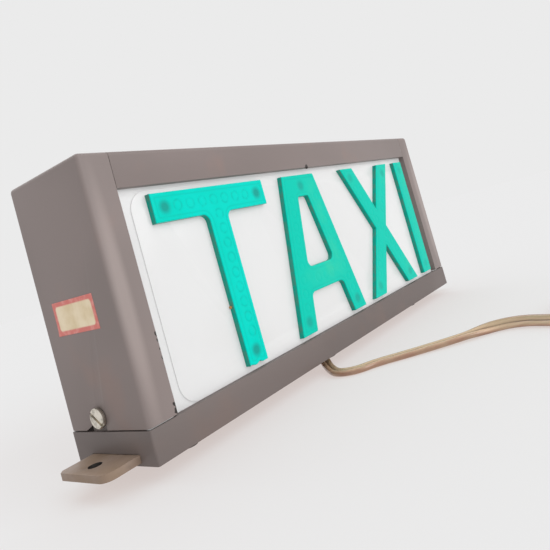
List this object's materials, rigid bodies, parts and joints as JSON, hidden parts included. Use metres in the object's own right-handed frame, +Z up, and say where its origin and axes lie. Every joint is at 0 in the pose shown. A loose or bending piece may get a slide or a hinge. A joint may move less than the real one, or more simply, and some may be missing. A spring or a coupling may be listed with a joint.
{
  "type": "illuminated taxi roof sign",
  "caption": "Long shallow light box with an opal front panel, raised plain green block letters, a lift-off hood, a tray base with mounting ears and a twin lead.",
  "frame": {"origin": "on the resting plane under the rubber feet, below the middle of the casing", "axes": "+X along the sign to the reader's right, -Y out of the face that is read, +Z up"},
  "size_m": [0.332, 0.2565, 0.127],
  "materials": {
    "casing_paint": "satin grey-brown stoved paint on folded sheet, faint warm blotches, worn edges",
    "ear_steel": "brownish paint rubbed thin on a thick steel plate",
    "bare_aluminium": "dull rivet heads",
    "rubber": "matt black moulded rubber",
    "plated_steel": "dull nickel plate with fine scratches",
    "opal_acrylic": "smooth opal white acrylic that spreads light",
    "green_acrylic": "translucent turquoise green acrylic with ring pattern behind",
    "label_paper": "aged cream paper with a red border, blank",
    "brass": "dull brass",
    "insulator_plastic": "brown moulded plastic",
    "bulb_glass": "clear lamp glass",
    "lead_pvc": "clear figure-eight twin flex, copper strands showing through"
  },
  "bodies": {
    "base": {"base_tray": "casing_paint", "connector_pins": "brass", "ear_rivets": "bare_aluminium", "foot_screws": "plated_steel", "front_left_foot": "rubber", "front_right_foot": "rubber", "inner_lead": "lead_pvc", "lead_coil": "lead_pvc", "lead_connector": "insulator_plastic", "lead_grommet": "rubber", "lead_tail": "lead_pvc", "lead_tube": "lead_pvc", "left_bulb_cap": "brass", "left_bulb_glass": "bulb_glass", "left_centre_contact": "brass", "left_contact_spring": "plated_steel", "left_holder_insulator": "insulator_plastic", "left_hood_bracket": "casing_paint", "left_lamp_bracket": "plated_steel", "left_lamp_wire": "lead_pvc", "left_lampholder": "brass", "left_mounting_ear": "ear_steel", "left_weld_nut": "plated_steel", "rear_left_foot": "rubber", "rear_right_foot": "rubber", "right_bulb_cap": "brass", "right_bulb_glass": "bulb_glass", "right_centre_contact": "brass", "right_contact_spring": "plated_steel", "right_holder_insulator": "insulator_plastic", "right_hood_bracket": "casing_paint", "right_lamp_bracket": "plated_steel", "right_lamp_wire": "lead_pvc", "right_lampholder": "brass", "right_mounting_ear": "ear_steel", "right_weld_nut": "plated_steel", "terminal_block": "insulator_plastic", "terminal_screws": "plated_steel"},
    "hood": {"left_end_cap": "casing_paint", "right_end_cap": "casing_paint", "top_cover": "casing_paint", "seam_rivets": "bare_aluminium", "opal_panel": "opal_acrylic", "letter_t": "green_acrylic", "letter_a": "green_acrylic", "letter_x": "green_acrylic", "letter_i": "green_acrylic", "letter_screws": "plated_steel", "panel_clips": "plated_steel", "side_label": "label_paper"},
    "left_washer": {"left_spring_washer": "plated_steel"},
    "left_screw": {"left_side_screw": "plated_steel"},
    "right_washer": {"right_spring_washer": "plated_steel"},
    "right_screw": {"right_side_screw": "plated_steel"}
  },
  "joints": [
    {"name": "hood_lift", "type": "slide", "parent": "base", "child": "hood", "axis": [0, 0, 1], "range_m": [0, 0.11]},
    {"name": "left_screw_travel", "type": "slide", "parent": "base", "child": "left_washer", "axis": [-1, 0, 0], "range_m": [0, 0.0024]},
    {"name": "left_screw_turn", "type": "hinge", "parent": "left_washer", "child": "left_screw", "pos_m": [-0.15, 0.0028, 0.0264], "axis": [-1, 0, 0], "range_deg": [0, 1080]},
    {"name": "right_screw_travel", "type": "slide", "parent": "base", "child": "right_washer", "axis": [1, 0, 0], "range_m": [0, 0.0024]},
    {"name": "right_screw_turn", "type": "hinge", "parent": "right_washer", "child": "right_screw", "pos_m": [0.15, 0.0028, 0.0264], "axis": [1, 0, 0], "range_deg": [0, 1080]}
  ]
}
